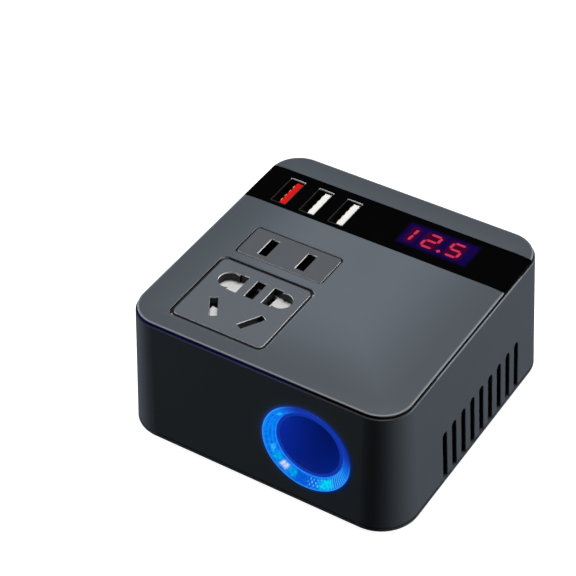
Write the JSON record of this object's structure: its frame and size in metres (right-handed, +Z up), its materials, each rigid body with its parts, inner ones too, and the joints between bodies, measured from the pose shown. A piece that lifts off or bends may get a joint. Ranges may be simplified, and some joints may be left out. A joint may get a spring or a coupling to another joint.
{
  "type": "power inverter",
  "caption": "Square desktop or in-car power inverter: lid with mains outlets, USB-A ports and a lit voltage display, round lit accessory socket in front, vented side.",
  "frame": {"origin": "centre of the footprint, on the surface under the rubber feet", "axes": "+Z up, +X towards the vented side, +Y towards the back; the lit accessory socket faces -Y"},
  "size_m": [0.0996, 0.0986, 0.047],
  "materials": {
    "case_plastic": "satin",
    "outlet_plastic": "satin",
    "gloss_strip": "gloss",
    "display_glow": "gloss",
    "digit_red": "gloss",
    "white_plastic": "satin",
    "red_plastic": "satin",
    "black_plastic": "satin",
    "halo": "gloss",
    "led": "gloss",
    "nickel": "satin",
    "screw_steel": "satin",
    "spring_steel": "satin",
    "brass": "satin",
    "gold": "polished",
    "circuit_board": "satin",
    "ferrite": "matte",
    "winding": "gloss",
    "copper_wire": "gloss",
    "choke_yellow": "satin",
    "capacitor_sleeve": "gloss",
    "heat_sink_metal": "satin",
    "insulator_brown": "matte",
    "fuse_green": "gloss",
    "terminal_green": "satin",
    "lead_red": "satin",
    "foot_rubber": "matte"
  },
  "bodies": {
    "case": {"top_cover": "case_plastic", "housing": "case_plastic", "base_plate": "case_plastic", "rubber_feet": "foot_rubber", "case_screws": "screw_steel", "display_strip": "gloss_strip", "display_window": "display_glow", "display_digits": "digit_red", "display_module": "white_plastic", "display_board": "circuit_board", "usb_shell_left": "nickel", "usb_shell_middle": "nickel", "usb_shell_right": "nickel", "usb_tongue_left": "red_plastic", "usb_tongue_middle": "white_plastic", "usb_tongue_right": "white_plastic", "usb_contacts": "gold", "usb_board": "circuit_board", "two_pin_insert": "outlet_plastic", "two_pin_contacts": "brass", "outlet_plate": "outlet_plastic", "outlet_carrier": "black_plastic", "live_contact": "brass", "neutral_contact": "brass", "earth_contact": "brass", "two_pin_springs": "spring_steel", "three_pin_spring": "spring_steel", "halo_ring": "halo", "halo_board": "white_plastic", "halo_leds": "led", "socket_barrel": "nickel", "socket_insulator": "insulator_brown", "socket_centre_contact": "brass", "socket_nut": "black_plastic", "main_board": "circuit_board", "transformer_core": "ferrite", "transformer_bobbin": "black_plastic", "transformer_winding": "winding", "bus_capacitor": "capacitor_sleeve", "filter_capacitors": "capacitor_sleeve", "power_transistors": "black_plastic", "heat_sink": "heat_sink_metal", "choke_core": "choke_yellow", "choke_winding": "copper_wire", "fuse": "fuse_green", "fuse_holder": "black_plastic", "terminal_block": "terminal_green", "board_screws": "screw_steel", "fan_frame": "black_plastic", "rocker_housing": "black_plastic", "rocker_terminals": "brass", "cable_gland": "black_plastic", "gland_nut": "black_plastic", "switch_leads": "lead_red"},
    "two_pin_shutter": {"two_pin_shutter": "white_plastic"},
    "three_pin_shutter": {"three_pin_shutter": "white_plastic"},
    "fan_rotor": {"fan_rotor": "black_plastic"},
    "rocker": {"rocker": "black_plastic"}
  },
  "joints": [
    {"name": "two_pin_shutter_slide", "type": "slide", "parent": "case", "child": "two_pin_shutter", "axis": [0, -1, 0], "range_m": [0, 0.007], "stiffness_N_per_m": 60, "springref_m": -0.004, "deforming": ["two_pin_springs"]},
    {"name": "three_pin_shutter_slide", "type": "slide", "parent": "case", "child": "three_pin_shutter", "axis": [-1, 0, 0], "range_m": [0, 0.0053], "stiffness_N_per_m": 80, "springref_m": -0.003, "deforming": ["three_pin_spring"]},
    {"name": "fan_spin", "type": "hinge", "parent": "case", "child": "fan_rotor", "pos_m": [0.034, 0.00375, 0.0215], "axis": [1, 0, 0], "continuous": true},
    {"name": "rocker_tilt", "type": "hinge", "parent": "case", "child": "rocker", "pos_m": [0.022, 0.04503, 0.02234], "axis": [0, -0.0499, 0.9988], "range_deg": [0, 12]}
  ]
}
